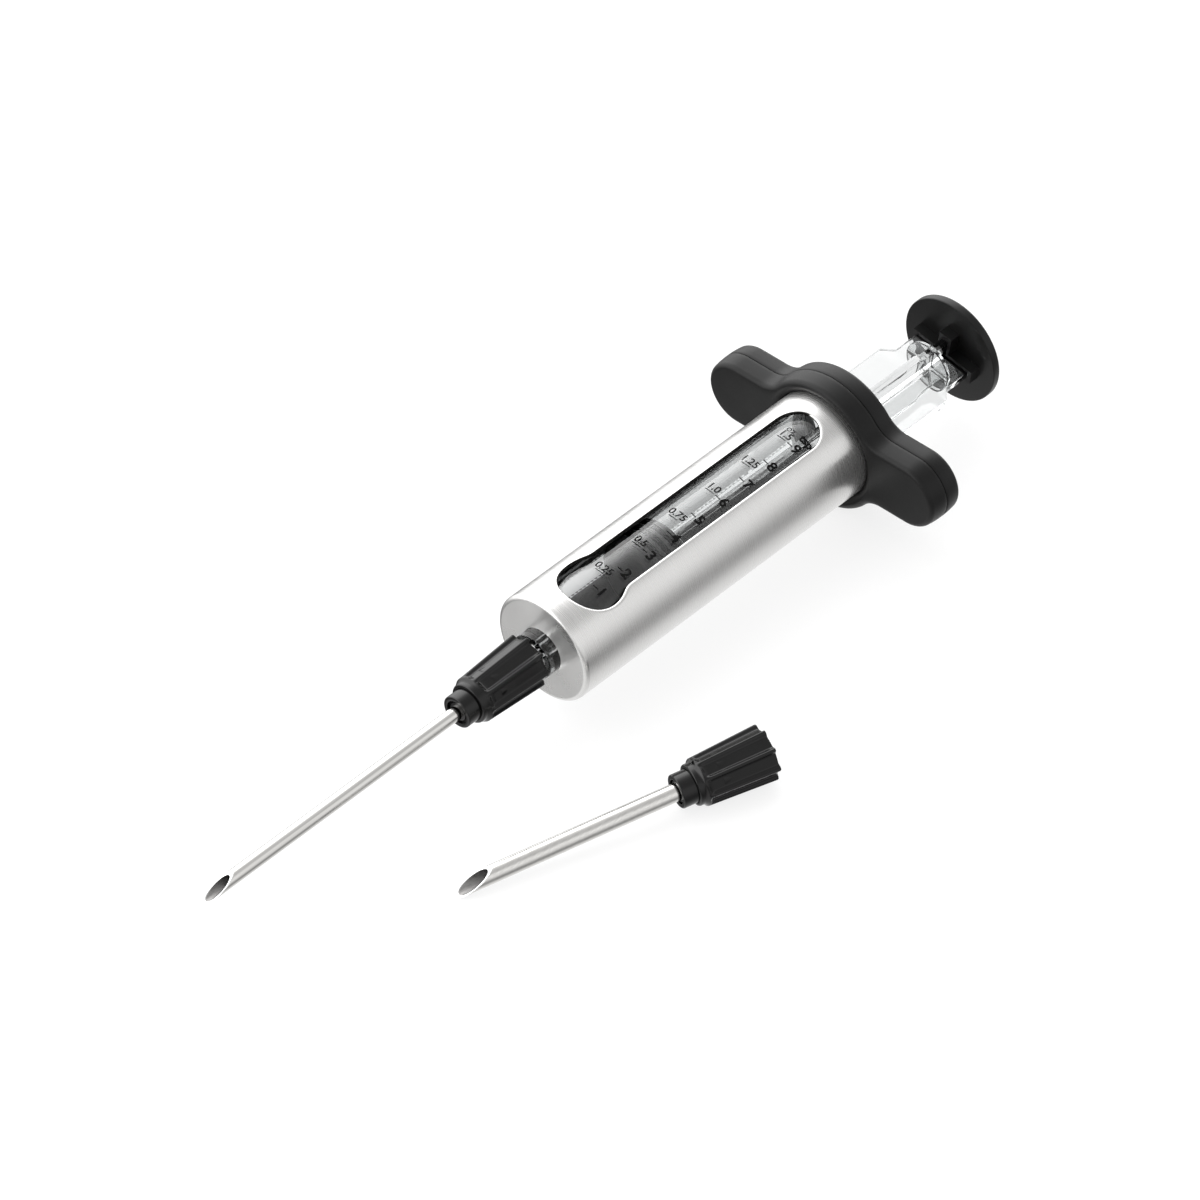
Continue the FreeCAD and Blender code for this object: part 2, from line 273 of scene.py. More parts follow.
def brushed_steel():
    """Stainless steel with hairlines that run round the sleeve."""
    material, nodes, links, shader = new_material("brushed_sleeve")
    shader.inputs["Metallic"].default_value = 0.92
    shader.inputs["Anisotropic"].default_value = 0.7
    shader.inputs["Anisotropic Rotation"].default_value = 0.25
    tangent = nodes.new("ShaderNodeTangent")
    tangent.direction_type = "RADIAL"
    tangent.axis = "X"
    links.new(tangent.outputs["Tangent"], shader.inputs["Tangent"])
    hairs = noise(nodes, links, (9000, 45, 45), detail=4.0)
    clouds = noise(nodes, links, (60, 25, 25))
    links.new(tinted(nodes, links, spread(nodes, links, hairs, 0, 1), (0.68, 0.675, 0.665),
                     (0.76, 0.755, 0.745)), shader.inputs["Base Color"])
    roughness = nodes.new("ShaderNodeMath")
    roughness.operation = "ADD"
    links.new(spread(nodes, links, hairs, 0.22, 0.34), roughness.inputs[0])
    links.new(spread(nodes, links, clouds, -0.03, 0.03), roughness.inputs[1])
    links.new(roughness.outputs["Value"], shader.inputs["Roughness"])
    bump(nodes, links, hairs, 0.12, 0.00002, shader)
    return material


def needle_steel():
    """Bright drawn tube with faint lines along it."""
    material, nodes, links, shader = new_material("drawn_needle_steel")
    shader.inputs["Metallic"].default_value = 1.0
    lines = noise(nodes, links, (25, 2500, 2500), detail=4.0)
    mottle(nodes, links, shader, lines, (0.66, 0.65, 0.63), (0.78, 0.77, 0.75), 0.08, 0.17)
    bump(nodes, links, lines, 0.05, 0.00002, shader)
    return material


def ground_steel():
    """Bevel of a needle, ground bright."""
    material, nodes, links, shader = new_material("ground_bevel_steel")
    shader.inputs["Metallic"].default_value = 1.0
    lines = noise(nodes, links, (6000, 100, 6000), detail=3.0)
    mottle(nodes, links, shader, lines, grey(0.85), grey(0.95), 0.25, 0.4)
    return material


def edge_steel(name, low, high):
    """Dull steel painted dark as painted shade, for cut edges, lining by the window and the far lip."""
    material, nodes, links, shader = new_material(name)
    shader.inputs["Metallic"].default_value = 1.0
    grain = noise(nodes, links, (900, 900, 900))
    mottle(nodes, links, shader, grain, grey(low), (high, high * 0.97, high * 0.94), 0.35, 0.5)
    return material


def inside_steel(name, glow):
    """Unpolished inside of the sleeve, painted pale and glowing as painted light in place of the studio's
    light.
    """
    material, nodes, links, shader = new_material(name)
    grain = noise(nodes, links, (900, 60, 60))
    mottle(nodes, links, shader, grain, grey(0.84), grey(0.93), 0.4, 0.6)
    shader.inputs["Emission Color"].default_value = (1, 1, 1, 1)
    shader.inputs["Emission Strength"].default_value = glow
    return material


def bore_steel():
    """Dull inside of a needle, painted darker than the tube as painted shade in the bore."""
    material, nodes, links, shader = new_material("needle_bore_painted_shade")
    shader.inputs["Metallic"].default_value = 1.0
    grain = noise(nodes, links, (400, 1500, 1500))
    mottle(nodes, links, shader, grain, (0.29, 0.285, 0.28), (0.37, 0.365, 0.36), 0.5, 0.6)
    return material


def clear_plastic(name, dim, bright, shine):
    """Clear polished acrylic with very slight moulding waviness."""
    material, nodes, links, shader = new_material(name)
    shader.inputs["Specular IOR Level"].default_value = shine
    shader.inputs["Transmission Weight"].default_value = 1.0
    shader.inputs["IOR"].default_value = 1.49
    waves = noise(nodes, links, (160, 160, 160))
    links.new(tinted(nodes, links, waves, dim, bright), shader.inputs["Base Color"])
    links.new(spread(nodes, links, waves, 0.0, 0.03), shader.inputs["Roughness"])
    bump(nodes, links, waves, 0.08, 0.0002, shader)
    return material


ROUGHNESS_SPREAD = 0.06


def moulded_plastic(name, roughness, low, high, grain_strength, grain_size, shine=0.3):
    """Moulded plastic or rubber with a fine grain and faint clouds of colour."""
    material, nodes, links, shader = new_material(name)
    shader.inputs["Specular IOR Level"].default_value = shine
    grain = noise(nodes, links, (grain_size, grain_size, grain_size), detail=4.0)
    clouds = noise(nodes, links, (90, 90, 90))
    links.new(tinted(nodes, links, spread(nodes, links, clouds, 0, 1), low, high),
              shader.inputs["Base Color"])
    links.new(spread(nodes, links, grain, roughness - ROUGHNESS_SPREAD, roughness + ROUGHNESS_SPREAD),
              shader.inputs["Roughness"])
    bump(nodes, links, grain, grain_strength, 0.00005, shader)
    return material


STEEL = brushed_steel()
# Steel painted dark as painted shade: cut edges and lining by the window, and deeper shade at the far lip.
CUT_SHADE_STEEL = edge_steel("sleeve_cut_painted_shade", 0.10, 0.16)
FAR_LIP_SHADE_STEEL = edge_steel("sleeve_far_lip_painted_shade", 0.012, 0.022)
NEEDLE_STEEL = needle_steel()
BEVEL_STEEL = ground_steel()
BORE_SHADE_STEEL = bore_steel()
# Inside of the sleeve: a painted glow, and a brighter glowing strip of painted highlight.
GLOWING_INSIDE_STEEL = inside_steel("sleeve_inside_painted_glow", 0.36)
PAINTED_HIGHLIGHT_STEEL = inside_steel("sleeve_inside_painted_highlight", 1.15)
SLEEVE_STEELS = (STEEL, CUT_SHADE_STEEL, GLOWING_INSIDE_STEEL, PAINTED_HIGHLIGHT_STEEL, FAR_LIP_SHADE_STEEL)
CLEAR = clear_plastic("clear_acrylic", (0.965, 0.975, 0.975), (0.99, 0.995, 0.995), 1.0)
PLUNGER_CLEAR = clear_plastic("plunger_acrylic", (0.75, 0.76, 0.76), (0.81, 0.82, 0.82), 0.5)
SOFT_BLACK = moulded_plastic("soft_touch_black", 0.42, grey(0.004), grey(0.007), 0.15, 3500, shine=0.22)
DISC_BLACK = moulded_plastic("satin_disc_black", 0.34, grey(0.004), grey(0.007), 0.10, 3000, shine=0.25)
GLOSS_BLACK = moulded_plastic("gloss_hub_black", 0.14, grey(0.002), grey(0.004), 0.04, 900, shine=0.36)
PISTON_BLACK = moulded_plastic("piston_black", 0.34, grey(0.055), grey(0.075), 0.10, 3000)
RUBBER = moulded_plastic("seal_rubber_black", 0.30, grey(0.002), grey(0.004), 0.10, 1500)
PALE = moulded_plastic("slip_ring_pale", 0.4, (0.62, 0.62, 0.60), (0.70, 0.70, 0.68), 0.05, 1500)
INK = moulded_plastic("print_ink", 0.6, grey(0.002), grey(0.004), 0.05, 4000, shine=0.1)


# ---------------------------------------------------------------- mesh helpers

def rounded(corners, steps=6):
    """Closed (x, r) profile; a corner given as (x, r, radius) is rounded by that radius."""
    points = []
    for index, corner in enumerate(corners):
        here = Vector(corner[:2])
        radius = corner[2] if len(corner) > 2 else 0
        if not radius:
            points.append(here)
            continue
        back = (Vector(corners[index - 1][:2]) - here).normalized()
        ahead = (Vector(corners[(index + 1) % len(corners)][:2]) - here).normalized()
        half = back.angle(ahead) / 2
        centre = here + (back + ahead).normalized() * radius / math.sin(half)
        start = here + back * radius / math.tan(half) - centre
        stop = here + ahead * radius / math.tan(half) - centre
        first = math.atan2(start.y, start.x)
        turn = (math.atan2(stop.y, stop.x) - first + math.pi) % (2 * math.pi) - math.pi
        for step in range(steps + 1):
            angle = first + turn * step / steps
            points.append(centre + radius * Vector((math.cos(angle), math.sin(angle))))
    return points


FINE_TURNS = 160


def lathe(profile, turns=128):
    """Closed (x, r) profile turned about the x axis."""
    verts = []
    faces = []
    count = len(profile)
    for turn in range(turns):
        angle = 2 * math.pi * turn / turns
        verts += [(x, r * math.cos(angle), r * math.sin(angle)) for x, r in profile]
        this = turn * count
        following = (turn + 1) % turns * count
        for i in range(count):
            j = (i + 1) % count
            faces.append((this + i, this + j, following + j, following + i))
    return verts, faces


def stitch(rings, closed=False):
    """Surface through rings of equal point counts; closed joins the last ring to the first."""
    verts = [point for ring in rings for point in ring]
    size = len(rings[0])
    faces = []
    for index in range(len(rings) if closed else len(rings) - 1):
        low = index * size
        high = (index + 1) % len(rings) * size
        for i in range(size):
            j = (i + 1) % size
            faces.append((low + i, low + j, high + j, high + i))
    return verts, faces


SAME_POINT = 2e-7
NO_LENGTH = 1e-8
BEVELLED_ANGLE = 0.6


def piece(name, shape, place, body, material, nodes=(), sharp=35, bevel=0.0):
    """A closed mesh, made in a unit's millimetres and placed by its frame, that rides on a body."""
    verts, faces = shape
    mesh = bpy.data.meshes.new(name)
    mesh.from_pydata([place @ Vector(point) for point in verts], [], faces)
    work = bmesh.new()
    work.from_mesh(mesh)
    bmesh.ops.remove_doubles(work, verts=work.verts, dist=SAME_POINT)
    bmesh.ops.dissolve_degenerate(work, edges=work.edges, dist=NO_LENGTH)
    bmesh.ops.recalc_face_normals(work, faces=work.faces)
    if bevel:
        edges = [e for e in work.edges if len(e.link_faces) == 2 and e.calc_face_angle() > BEVELLED_ANGLE]
        bmesh.ops.bevel(work, geom=edges, offset=bevel * MM, segments=3, profile=0.5,
                        affect="EDGES", clamp_overlap=True)
    work.to_mesh(mesh)
    work.free()
    mesh.shade_smooth()
    mesh.set_sharp_from_angle(angle=math.radians(sharp))
    mesh.materials.append(material)
    obj = bpy.data.objects.new(name, mesh)
    bpy.context.collection.objects.link(obj)
    attach(obj, body, nodes)
    return obj


def attach(obj, body, nodes=()):
    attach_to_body(obj, body)
    if nodes:
        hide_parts(*nodes)


def dress(node, material):
    """Gives a CAD node that stays its finished material."""
    obj = frame["nodes"][node]
    for slot in obj.material_slots:
        slot.material = material


# ---------------------------------------------------------------- sleeve with its window

def arc_points(centre, radius, start, stop, steps):
    """Points on an arc in degrees, without the last one."""
    angles = [math.radians(start + (stop - start) * k / steps) for k in range(steps)]
    return [Vector((centre[0] + radius * math.cos(a), centre[1] + radius * math.sin(a))) for a in angles]


def line_points(start, stop, steps):
    return [Vector(start).lerp(Vector(stop), k / steps) for k in range(steps)]


def window_ring(offset):
    """Outline of the window, grown by offset, on the unrolled sleeve: (station, arc) pairs."""
    neck_y = SLOT_HALF + NECK_R
    neck_x = BULGE_X + math.sqrt((BULGE_R + NECK_R) ** 2 - neck_y ** 2)
    lean = math.degrees(math.atan2(neck_y, neck_x - BULGE_X))
    end_x = SLOT_END - SLOT_HALF
    half = SLOT_HALF + offset
    neck = NECK_R - offset
    ring = arc_points((BULGE_X, 0), BULGE_R + offset, lean, 360 - lean, 44)
    ring += arc_points((neck_x, -neck_y), neck, 180 - lean, 90, 10)
    ring += line_points((neck_x, -half), (end_x, -half), 46)
    ring += arc_points((end_x, 0), half, -90, 90, 30)
    ring += line_points((end_x, half), (neck_x, half), 46)
    ring += arc_points((neck_x, neck_y), neck, 270, 180 + lean, 10)
    return ring


def inside(point, ring):
    """Whether a point lies within a closed ring, by counting crossings."""
    hits = False
    x, y = point
    for a, b in zip(ring, ring[1:] + ring[:1]):
        if (a.y > y) != (b.y > y) and x < a.x + (y - a.y) / (b.y - a.y) * (b.x - a.x):
            hits = not hits
    return hits


def unrolled_skin():
    """Points of the unrolled sleeve, its triangles round the window, and the slope of each lip point."""
    points = []
    edges = []
    lip = {}
    for step in range(LIP_STEPS + 1):
        swing = math.pi / 2 * step / LIP_STEPS
        ring = window_ring(LIP_W * (1 - math.cos(swing)))
        first = len(points)
        for i, point in enumerate(ring):
            along = ring[(i + 1) % len(ring)] - ring[i - 1]
            outward = Vector((along.y, -along.x)).normalized()
            lip[first + i] = (LIP_D * (1 - math.sin(swing)), swing, outward)
            points.append(point)
            edges.append((first + i, first + (i + 1) % len(ring)))
    opening = window_ring(0)
    keep_out = window_ring(LIP_W + LIP_CLEARANCE)
    half_turn = math.pi * SLEEVE_R
    for row in range(SLEEVE_ROWS + 1):
        x = SLEEVE_EDGE_R + (SLEEVE_END - SLEEVE_EDGE_R) * row / SLEEVE_ROWS
        for column in range(SLEEVE_STEPS + 1):
            arc = half_turn * (2 * column / SLEEVE_STEPS - 1)
            near = abs(arc) < BULGE_R + SEARCH_MARGIN and SEARCH_MARGIN < x < SLOT_END + SEARCH_MARGIN
            if not (near and inside((x, arc), keep_out)):
                points.append(Vector((x, arc)))
    flat, _, triangles, sources = geometry.delaunay_2d_cdt(points, edges, [], 0, 1e-5)[:4]
    kept = [t for t in triangles if not inside(sum((flat[i] for i in t), Vector((0, 0))) / 3, opening)]
    slopes = {}
    for index, source in enumerate(sources):
        for original in source:
            if original in lip:
                slopes[index] = lip[original]
    return flat, kept, slopes


class Skin:
    """Collects faces with a normal for each corner; equal points are shared."""

    def __init__(self):
        self.verts = []
        self.index = {}
        self.faces = []
        self.normals = []
        self.paint = []

    def vertex(self, x, angle, radius):
        point = Vector((x, -radius * math.sin(angle), radius * math.cos(angle)))
        key = tuple(round(value, 4) for value in point)
        if key not in self.index:
            self.index[key] = len(self.verts)
            self.verts.append(point)
        return self.index[key]

    def face(self, corners, normals, paint):
        found = [self.vertex(*corner) for corner in corners]
        if len(set(found)) == len(found):
            self.faces.append(found)
            self.normals += normals
            self.paint.append(paint)


def polar_normal(angle, along, radial, round_part=0.0):
    """Normal with a part along x, a radial part and a part round the sleeve."""
    out = Vector((0, -math.sin(angle), math.cos(angle)))
    side = Vector((0, -math.cos(angle), -math.sin(angle)))
    return (Vector((along, 0, 0)) + out * radial + side * round_part).normalized()


def sleeve_skin():
    skin = Skin()
    flat, triangles, slopes = unrolled_skin()

    def outer(index):
        x, arc = flat[index]
        angle = arc / SLEEVE_R
        drop, swing, outward = slopes.get(index, (0, math.pi / 2, Vector((0, 0))))
        lean = -LIP_D * math.cos(swing)
        rise = LIP_W * math.sin(swing)
        return (x, angle, SLEEVE_R - drop), polar_normal(angle, lean * outward.x, rise, lean * outward.y)

    def inner(index):
        x, arc = flat[index]
        angle = arc / SLEEVE_R
        return (x, angle, SLEEVE_R - SLEEVE_WALL), polar_normal(angle, 0, -1)

    for triangle in triangles:
        a, b, c = (flat[i] for i in triangle)
        order = triangle if (b - a).cross(c - a) < 0 else triangle[::-1]
        corners, normals = zip(*(outer(i) for i in order))
        # Outside faces are brushed, with deep painted shade at the far lip; inside faces take painted
        # shade, a painted glow and a painted highlight by place.
        skin.face(corners, list(normals), lip_paint([slopes.get(i) for i in triangle]))
        corners, normals = zip(*(inner(i) for i in reversed(order)))
        skin.face(corners, list(normals), inside_paint(flat[triangle[0]]))
    by_start = {tuple(round(v, 3) for v in flat[i]): i for i in slopes}
    ring = [by_start[tuple(round(v, 3) for v in p)] for p in window_ring(0)]
    # The window's cut wall: deep painted shade on the far side, painted shade on the near side.
    for i, j in zip(ring, ring[1:] + ring[:1]):
        corners = (outer(j)[0], outer(i)[0], inner(i)[0], inner(j)[0])
        normals = []
        for k in (j, i, i, j):
            outward = slopes[k][2]
            normals.append(polar_normal(flat[k][1] / SLEEVE_R, -outward.x, 0, -outward.y))
        skin.face(corners, normals, FAR_SHADE if slopes[i][2].y < FAR_SIDE else CUT_SHADE)
    for start, stop, start_n, stop_n, paint in end_bands():
        for step in range(SLEEVE_STEPS):
            a = math.pi * (2 * step / SLEEVE_STEPS - 1)
            b = math.pi * (2 * (step + 1) / SLEEVE_STEPS - 1)
            corners = ((start[0], b, start[1]), (start[0], a, start[1]), (stop[0], a, stop[1]),
                       (stop[0], b, stop[1]))
            normals = [polar_normal(b, *start_n), polar_normal(a, *start_n), polar_normal(a, *stop_n),
                       polar_normal(b, *stop_n)]
            skin.face(corners, normals, paint)
    return skin


def lip_paint(corners):
    """Deep painted shade where the far lip of the window turns down, brushed everywhere else."""
    if None in corners or min(corner[1] for corner in corners) > LIP_TURNED_DOWN:
        return BRUSHED
    return FAR_SHADE if corners[0][2].y < FAR_SIDE else BRUSHED


def inside_paint(point):
    """Deep painted shade by the far lip; painted shade by the near lip and under the front; elsewhere
    painted glow and a painted highlight strip.
    """
    arc = abs(point.y)
    ahead = point.x < PISTON_ZONE_END
    if FAR_SHADE_ARCS[0] < point.y < FAR_SHADE_ARCS[1]:
        return FAR_SHADE
    if arc < NEAR_SHADE_HALF or ahead and arc > FRONT_LINING_HALF:
        return CUT_SHADE
    return PAINTED_HIGHLIGHT if not ahead and HIGHLIGHT_ARCS[0] < arc < HIGHLIGHT_ARCS[1] else LINING


def end_bands():
    """Bands of revolution at both ends of the sleeve: two (x, r) points, their normals, paint."""
    inner_r = SLEEVE_R - SLEEVE_WALL
    bands = []
    turn = [math.pi / 2 * k / EDGE_STEPS for k in range(EDGE_STEPS + 1)]
    for a, b in zip(turn, turn[1:]):
        ends = []
        for t in (a, b):
            point = (SLEEVE_EDGE_R * (1 - math.sin(t)), SLEEVE_R - SLEEVE_EDGE_R * (1 - math.cos(t)))
            ends.append((point, (-math.sin(t), math.cos(t))))
        bands.append((ends[0][0], ends[1][0], ends[0][1], ends[1][1], BRUSHED))
    forward, back, outward, inward = (-1, 0), (1, 0), (0, 1), (0, -1)
    # The hole and the back of the front wall take painted shade; the inside faces take the painted glow.
    for start, stop, facing, paint in (
            ((0, SLEEVE_R - SLEEVE_EDGE_R), (0, SLEEVE_HOLE_R), forward, BRUSHED),
            ((0, SLEEVE_HOLE_R), (SLEEVE_FRONT_WALL, SLEEVE_HOLE_R), inward, CUT_SHADE),
            ((SLEEVE_FRONT_WALL, SLEEVE_HOLE_R), (SLEEVE_FRONT_WALL, inner_r), back, CUT_SHADE),
            ((SLEEVE_FRONT_WALL, inner_r), (SLEEVE_EDGE_R, inner_r), inward, LINING),
            ((SLEEVE_END, inner_r), (RIM_END, inner_r), inward, LINING),
            ((RIM_END, inner_r), (RIM_END, RIM_R), back, LINING),
            ((RIM_END, RIM_R), (SLEEVE_END, RIM_R), outward, BRUSHED),
            ((SLEEVE_END, RIM_R), (SLEEVE_END, SLEEVE_R), forward, BRUSHED)):
        bands.append((start, stop, facing, facing, paint))
    return bands


def make_sleeve():
    skin = sleeve_skin()
    mesh = bpy.data.meshes.new("sleeve")
    mesh.from_pydata([UNIT @ point for point in skin.verts], [], skin.faces)
    for material in SLEEVE_STEELS:
        mesh.materials.append(material)
    for polygon, paint in zip(mesh.polygons, skin.paint):
        polygon.material_index = paint
    turn = UNIT.to_3x3().normalized()
    mesh.shade_smooth()
    mesh.normals_split_custom_set([turn @ normal for normal in skin.normals])
    obj = bpy.data.objects.new("sleeve", mesh)
    bpy.context.collection.objects.link(obj)
    attach(obj, "barrel_unit", ("steel_sleeve",))


# ---------------------------------------------------------------- barrel and its print

def make_barrel():
    profile = [(BORE_FRONT, NOZZLE_BORE_R), (BORE_FRONT, BORE_R, 0.8), (BARREL_END, BORE_R),
               (BARREL_END, RIM_R, 0.3), (FLANGE_START, RIM_R, 0.3), (FLANGE_START, BARREL_R),
               (BARREL_FRONT, BARREL_R, 1.0), (BARREL_FRONT, BOSS_R), (BOSS_END, BOSS_R, 0.35)]
    station = THREAD_START
    while station > THREAD_LAST:
        profile += [(station + THREAD_ROOT, NOZZLE_R), (station + THREAD_CREST, THREAD_R),
                    (station - THREAD_CREST, THREAD_R), (station - THREAD_ROOT, NOZZLE_R)]
        station -= THREAD_PITCH
    profile += [(NOZZLE_END, NOZZLE_R, 0.3), (NOZZLE_END, NOZZLE_BORE_R)]
    piece("barrel", lathe(rounded(profile), FINE_TURNS), UNIT, "barrel_unit", CLEAR,
          ("clear_barrel",))


def on_barrel(station, arc, lift):
    """Point on the barrel; arc runs from the window's middle towards the viewer's side."""
    angle = arc / BARREL_R
    radius = PRINT_R + lift
    return (station, -radius * math.sin(angle), radius * math.cos(angle))


def print_slab(outline_rows):
    """Thin raised strip of ink: rows of (station, arc) pairs, each row across the strip."""
    low = [[on_barrel(x, a, 0) for x, a in row] for row in outline_rows]
    high = [[on_barrel(x, a, PRINT_T) for x, a in row] for row in outline_rows]
    rings = [row_low + row_high[::-1] for row_low, row_high in zip(low, high)]
    verts, faces = stitch(rings)
    size = len(rings[0])
    faces.append(tuple(range(size)))
    faces.append(tuple(range(len(verts) - size, len(verts))))
    return verts, faces


def tick(station, start, stop, width):
    """Line of the scale, along an arc of the barrel."""
    rows = []
    for k in range(TICK_STEPS + 1):
        arc = start + (stop - start) * k / TICK_STEPS
        rows.append([(station - width / 2, arc), (station + width / 2, arc)])
    return print_slab(rows)


def lettering(text, station, arc, height, weight):
    """Printed word wrapped on the barrel, centred at an arc; its letters' tops point to the thumb disc."""
    curve = bpy.data.curves.new("print_" + text, "FONT")
    curve.body = text
    curve.size = height / CAPITAL_HEIGHT
    curve.align_x = "CENTER"
    curve.offset = weight
    curve.extrude = PRINT_T / 2
    curve.resolution_u = 4
    holder = bpy.data.objects.new("print_" + text, curve)
    bpy.context.collection.objects.link(holder)
    mesh = bpy.data.meshes.new_from_object(holder.evaluated_get(bpy.context.evaluated_depsgraph_get()))
    bpy.data.objects.remove(holder)
    verts = [on_barrel(station + v.co.y, arc + v.co.x, v.co.z + PRINT_T / 2) for v in mesh.vertices]
    faces = [tuple(p.vertices) for p in mesh.polygons]
    bpy.data.meshes.remove(mesh)
    return verts, faces


def joined(shapes):
    verts = []
    faces = []
    for more_verts, more_faces in shapes:
        first = len(verts)
        verts += more_verts
        faces += [tuple(first + i for i in face) for face in more_faces]
    return verts, faces


def make_scale():
    """Teaspoon marks with bold numbers, and ounce marks with light ones."""
    marks = []
    bold = []
    light = []
    for spoon in range(1, TEASPOONS + 1):
        station = TEASPOON_ONE + TEASPOON_STEP * (spoon - 1)
        marks.append(tick(station, start=0.7, stop=2.5, width=0.32))
        bold.append(lettering(str(spoon), station - 1.15, arc=3.75, height=3.0, weight=0.13))
    for quarter in range(1, QUARTER_OUNCES + 1):
        station = TEASPOON_ONE + TEASPOON_STEP * (TEASPOONS_PER_QUARTER * quarter - 1)
        marks.append(tick(station, start=-3.0, stop=0.0, width=0.26))
        light.append(lettering(str(quarter / 4), station + 0.7, arc=-1.35, height=2.3, weight=0.05))
    units = TEASPOON_ONE + TEASPOON_STEP * (TEASPOONS - 1) + 3.2
    bold.append(lettering("tsp", units, arc=3.9, height=2.4, weight=0.14))
    light.append(lettering("oz", units, arc=-1.5, height=2.1, weight=0.0))
    for name, shapes in (("scale_marks", marks), ("scale_teaspoons", bold), ("scale_ounces", light)):
        piece(name, joined(shapes), UNIT, "barrel_unit", INK)


# ---------------------------------------------------------------- grip

def grip_ring(inset, station):
    """Outline of the grip, drawn in by inset, at a station; wings along y."""
    blend_y = WING_HALF + WING_BLEND
    blend_x = math.sqrt((GRIP_R + WING_BLEND) ** 2 - blend_y ** 2)
    lean = math.degrees(math.atan2(blend_y, blend_x))
    cap_x = WING_TIP - WING_HALF
    body_r = GRIP_R - inset
    blend_r = WING_BLEND + inset
    half = WING_HALF - inset
    points = []
    for side in (1, -1):
        upper = arc_points((0, 0), body_r, lean, 180 - lean, 40)
        upper += arc_points((-blend_x, blend_y), blend_r, -lean, -90, 12)
        upper += line_points((-blend_x, half), (-cap_x, half), 6)
        upper += arc_points((-cap_x, 0), half, 90, 270, 36)
        upper += line_points((-cap_x, -half), (-blend_x, -half), 6)
        upper += arc_points((-blend_x, -blend_y), blend_r, 90, lean, 12)
        points += [(station, side * p.x, side * p.y) for p in upper]
    return points


def bore_ring(station, radius, like):
    """Circle with its points in line with those of another ring."""
    ring = []
    for _, y, z in like:
        scale = radius / math.hypot(y, z)
        ring.append((station, y * scale, z * scale))
    return ring


def edge_profile(face, seam):
    """(station, inset) pairs from a flat face round its edge and along the side to the seam."""
    towards = 1 if seam > face else -1
    pairs = []
    for step in range(EDGE_STEPS + 1):
        angle = math.pi / 2 * step / EDGE_STEPS
        pairs.append((face + towards * GRIP_EDGE * (1 - math.cos(angle)),
                      GRIP_DRAFT + GRIP_EDGE * (1 - math.sin(angle))))
    start = pairs[-1][0]
    for step in range(1, SIDE_STEPS + 1):
        t = step / SIDE_STEPS
        pairs.append((start + (seam - towards * SEAM_LAND - start) * t, GRIP_DRAFT * (1 - t) ** 2))
    for away, inset in SEAM_GROOVE:
        pairs.append((seam - towards * away, inset))
    return pairs


def grip_shell(face, seam, bore, dish, cavity_end):
    """One half of the grip: face with its bore, rounded edge, side, seam face, and the cavity inside."""
    pairs = edge_profile(face, seam)
    outer = [grip_ring(inset, station) for station, inset in pairs]
    towards = 1 if seam > face else -1
    rings = [bore_ring(seam, CAVITY_R, outer[-1]), bore_ring(cavity_end, CAVITY_R, outer[-1]),
             bore_ring(cavity_end, bore, outer[-1])]
    rings.append(bore_ring(face + towards * (dish + CHAMFER_DEEP), bore, outer[0]))
    rings.append(bore_ring(face + towards * dish, bore + CHAMFER_WIDE, outer[0]))
    for t in (0.35, 0.7, 1.0):
        radius = bore + CHAMFER_WIDE + (DISH_R - bore - CHAMFER_WIDE) * t
        rings.append(bore_ring(face + towards * dish * (1 - t) ** DISH_CURVE, radius, outer[0]))
    rings += outer
    return stitch(rings, closed=True)


def make_grip():
    for side, face, bore, dish, cavity_end in (
            ("front", GRIP_FRONT, SLEEVE_R + SLEEVE_GAP, FRONT_DISH, CAVITY_FRONT),
            ("rear", GRIP_BACK, ROD_GUIDE_R, REAR_DISH, CAVITY_BACK)):
        piece("grip_" + side, grip_shell(face, GRIP_SEAM, bore, dish, cavity_end), STRAIGHT, "grip",
              SOFT_BLACK, ("grip_" + side + "_shell",), sharp=45)


# ---------------------------------------------------------------- plunger

def cross_loft(stations, thickness):
    """Plus-shaped bar along x; stations are (x, half reach in y, half reach in z)."""
    t = thickness / 2
    rings = []
    for x, wide, tall in stations:
        rings.append([(x, wide, -t), (x, wide, t), (x, t, t), (x, t, tall), (x, -t, tall), (x, -t, t),
                      (x, -wide, t), (x, -wide, -t), (x, -t, -t), (x, -t, -tall), (x, t, -tall),
                      (x, t, -t)])
    verts, faces = stitch(rings)
    for first in (0, len(verts) - 12):
        for cap in ((0, 1, 2, 11), (2, 3, 4, 5), (5, 6, 7, 8), (8, 9, 10, 11), (2, 5, 8, 11)):
            faces.append(tuple(first + i for i in cap))
    return verts, faces


def rod_piece(name, shape, bevel=0.0):
    """One of the clear pieces that make up the plunger's rod."""
    piece(name, shape, UNIT, "plunger", PLUNGER_CLEAR, ("plunger_rod",), bevel=bevel)


